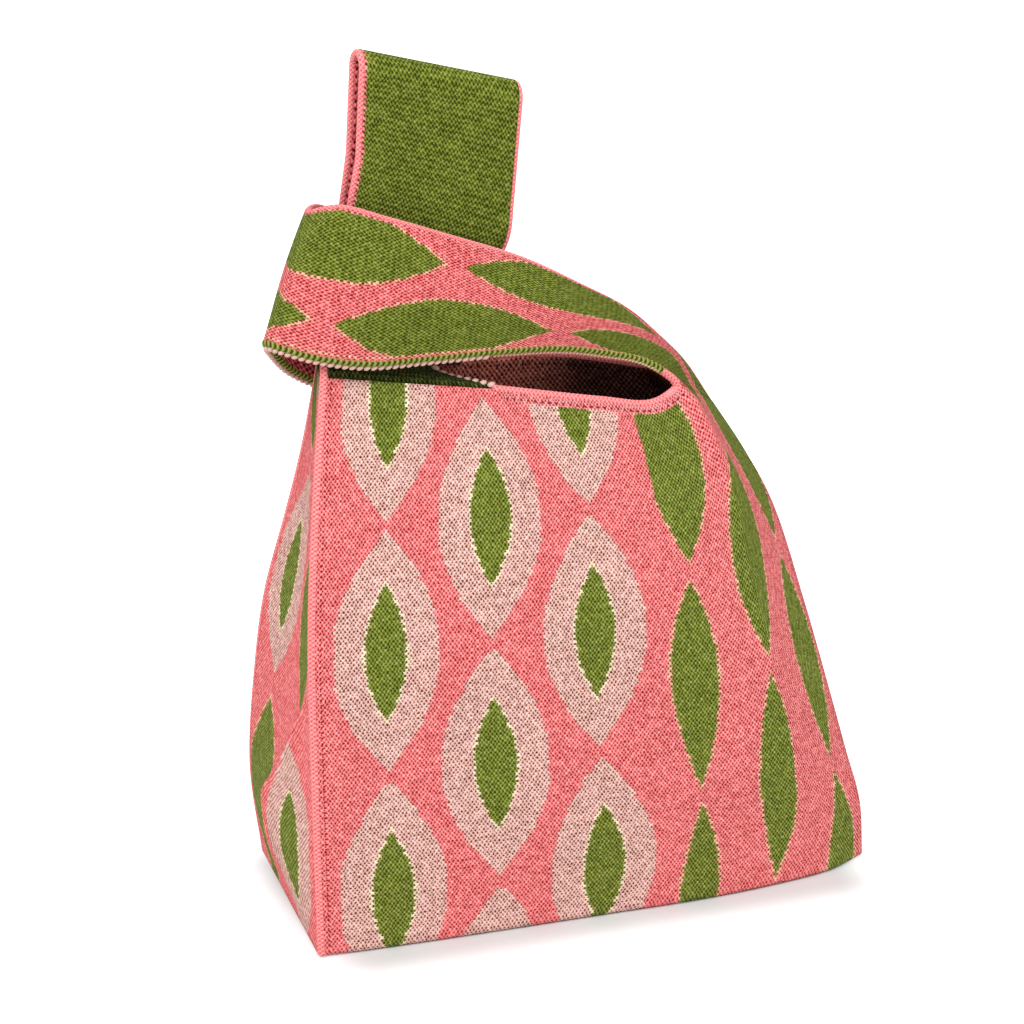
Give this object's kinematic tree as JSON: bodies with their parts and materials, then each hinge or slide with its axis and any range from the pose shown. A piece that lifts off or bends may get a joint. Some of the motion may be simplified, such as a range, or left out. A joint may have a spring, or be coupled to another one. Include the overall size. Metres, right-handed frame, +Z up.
{
  "type": "knitted knot bag",
  "caption": "Soft knitted hand bag with a boxed base, a side slot mouth and a long shoulder loop wrapped round a short folded carry handle, so pulling the handle closes the mouth.",
  "frame": {"origin": "on the floor, at the middle of the base's width and depth", "axes": "+X to the right along the front, -Y out of the front, +Z up"},
  "size_m": [0.241, 0.1018, 0.3379],
  "materials": {
    "front_knit": "two-colour jacquard knit in pink, pale pink and olive green",
    "back_knit": "jacquard knit in pink and olive green",
    "gusset_knit": "jacquard knit in pink and olive green",
    "base_knit": "jacquard knit in pink",
    "handle_knit": "plain olive green knit",
    "band_knit": "jacquard knit in olive green and pink",
    "pink_edge": "rolled pink knit edge",
    "green_edge": "rolled olive green knit edge"
  },
  "bodies": {
    "bag": {"front_panel": "front_knit", "back_panel": "back_knit", "left_gusset": "gusset_knit", "right_gusset": "gusset_knit", "base_panel": "base_knit", "front_left_seam": "pink_edge", "back_left_seam": "pink_edge", "front_right_seam": "pink_edge", "back_right_seam": "pink_edge", "front_mouth_edge": "pink_edge", "back_mouth_edge": "pink_edge", "carry_handle_root_front": "handle_knit", "carry_handle_root_back": "handle_knit", "carry_handle_flex_front": "handle_knit", "carry_handle_flex_back": "handle_knit"},
    "knot_loop": {"knot_loop_band": "band_knit", "knot_loop_upper_edge": "pink_edge", "knot_loop_lower_edge": "green_edge"},
    "carry_handle": {"carry_handle_loop": "handle_knit", "carry_handle_left_edge": "pink_edge", "carry_handle_right_edge": "pink_edge"}
  },
  "joints": [
    {"name": "knot_loop_lift", "type": "hinge", "parent": "bag", "child": "knot_loop", "pos_m": [0.06, 0, 0.189], "axis": [0, 1, 0], "range_deg": [0, 5]},
    {"name": "carry_handle_tip", "type": "hinge", "parent": "bag", "child": "carry_handle", "pos_m": [-0.05435, 0, 0.289], "axis": [0.9476, 0, -0.3196], "range_deg": [-30, 30], "stiffness_Nm_per_rad": 0.02, "deforming": ["carry_handle_flex_front", "carry_handle_flex_back"]}
  ]
}
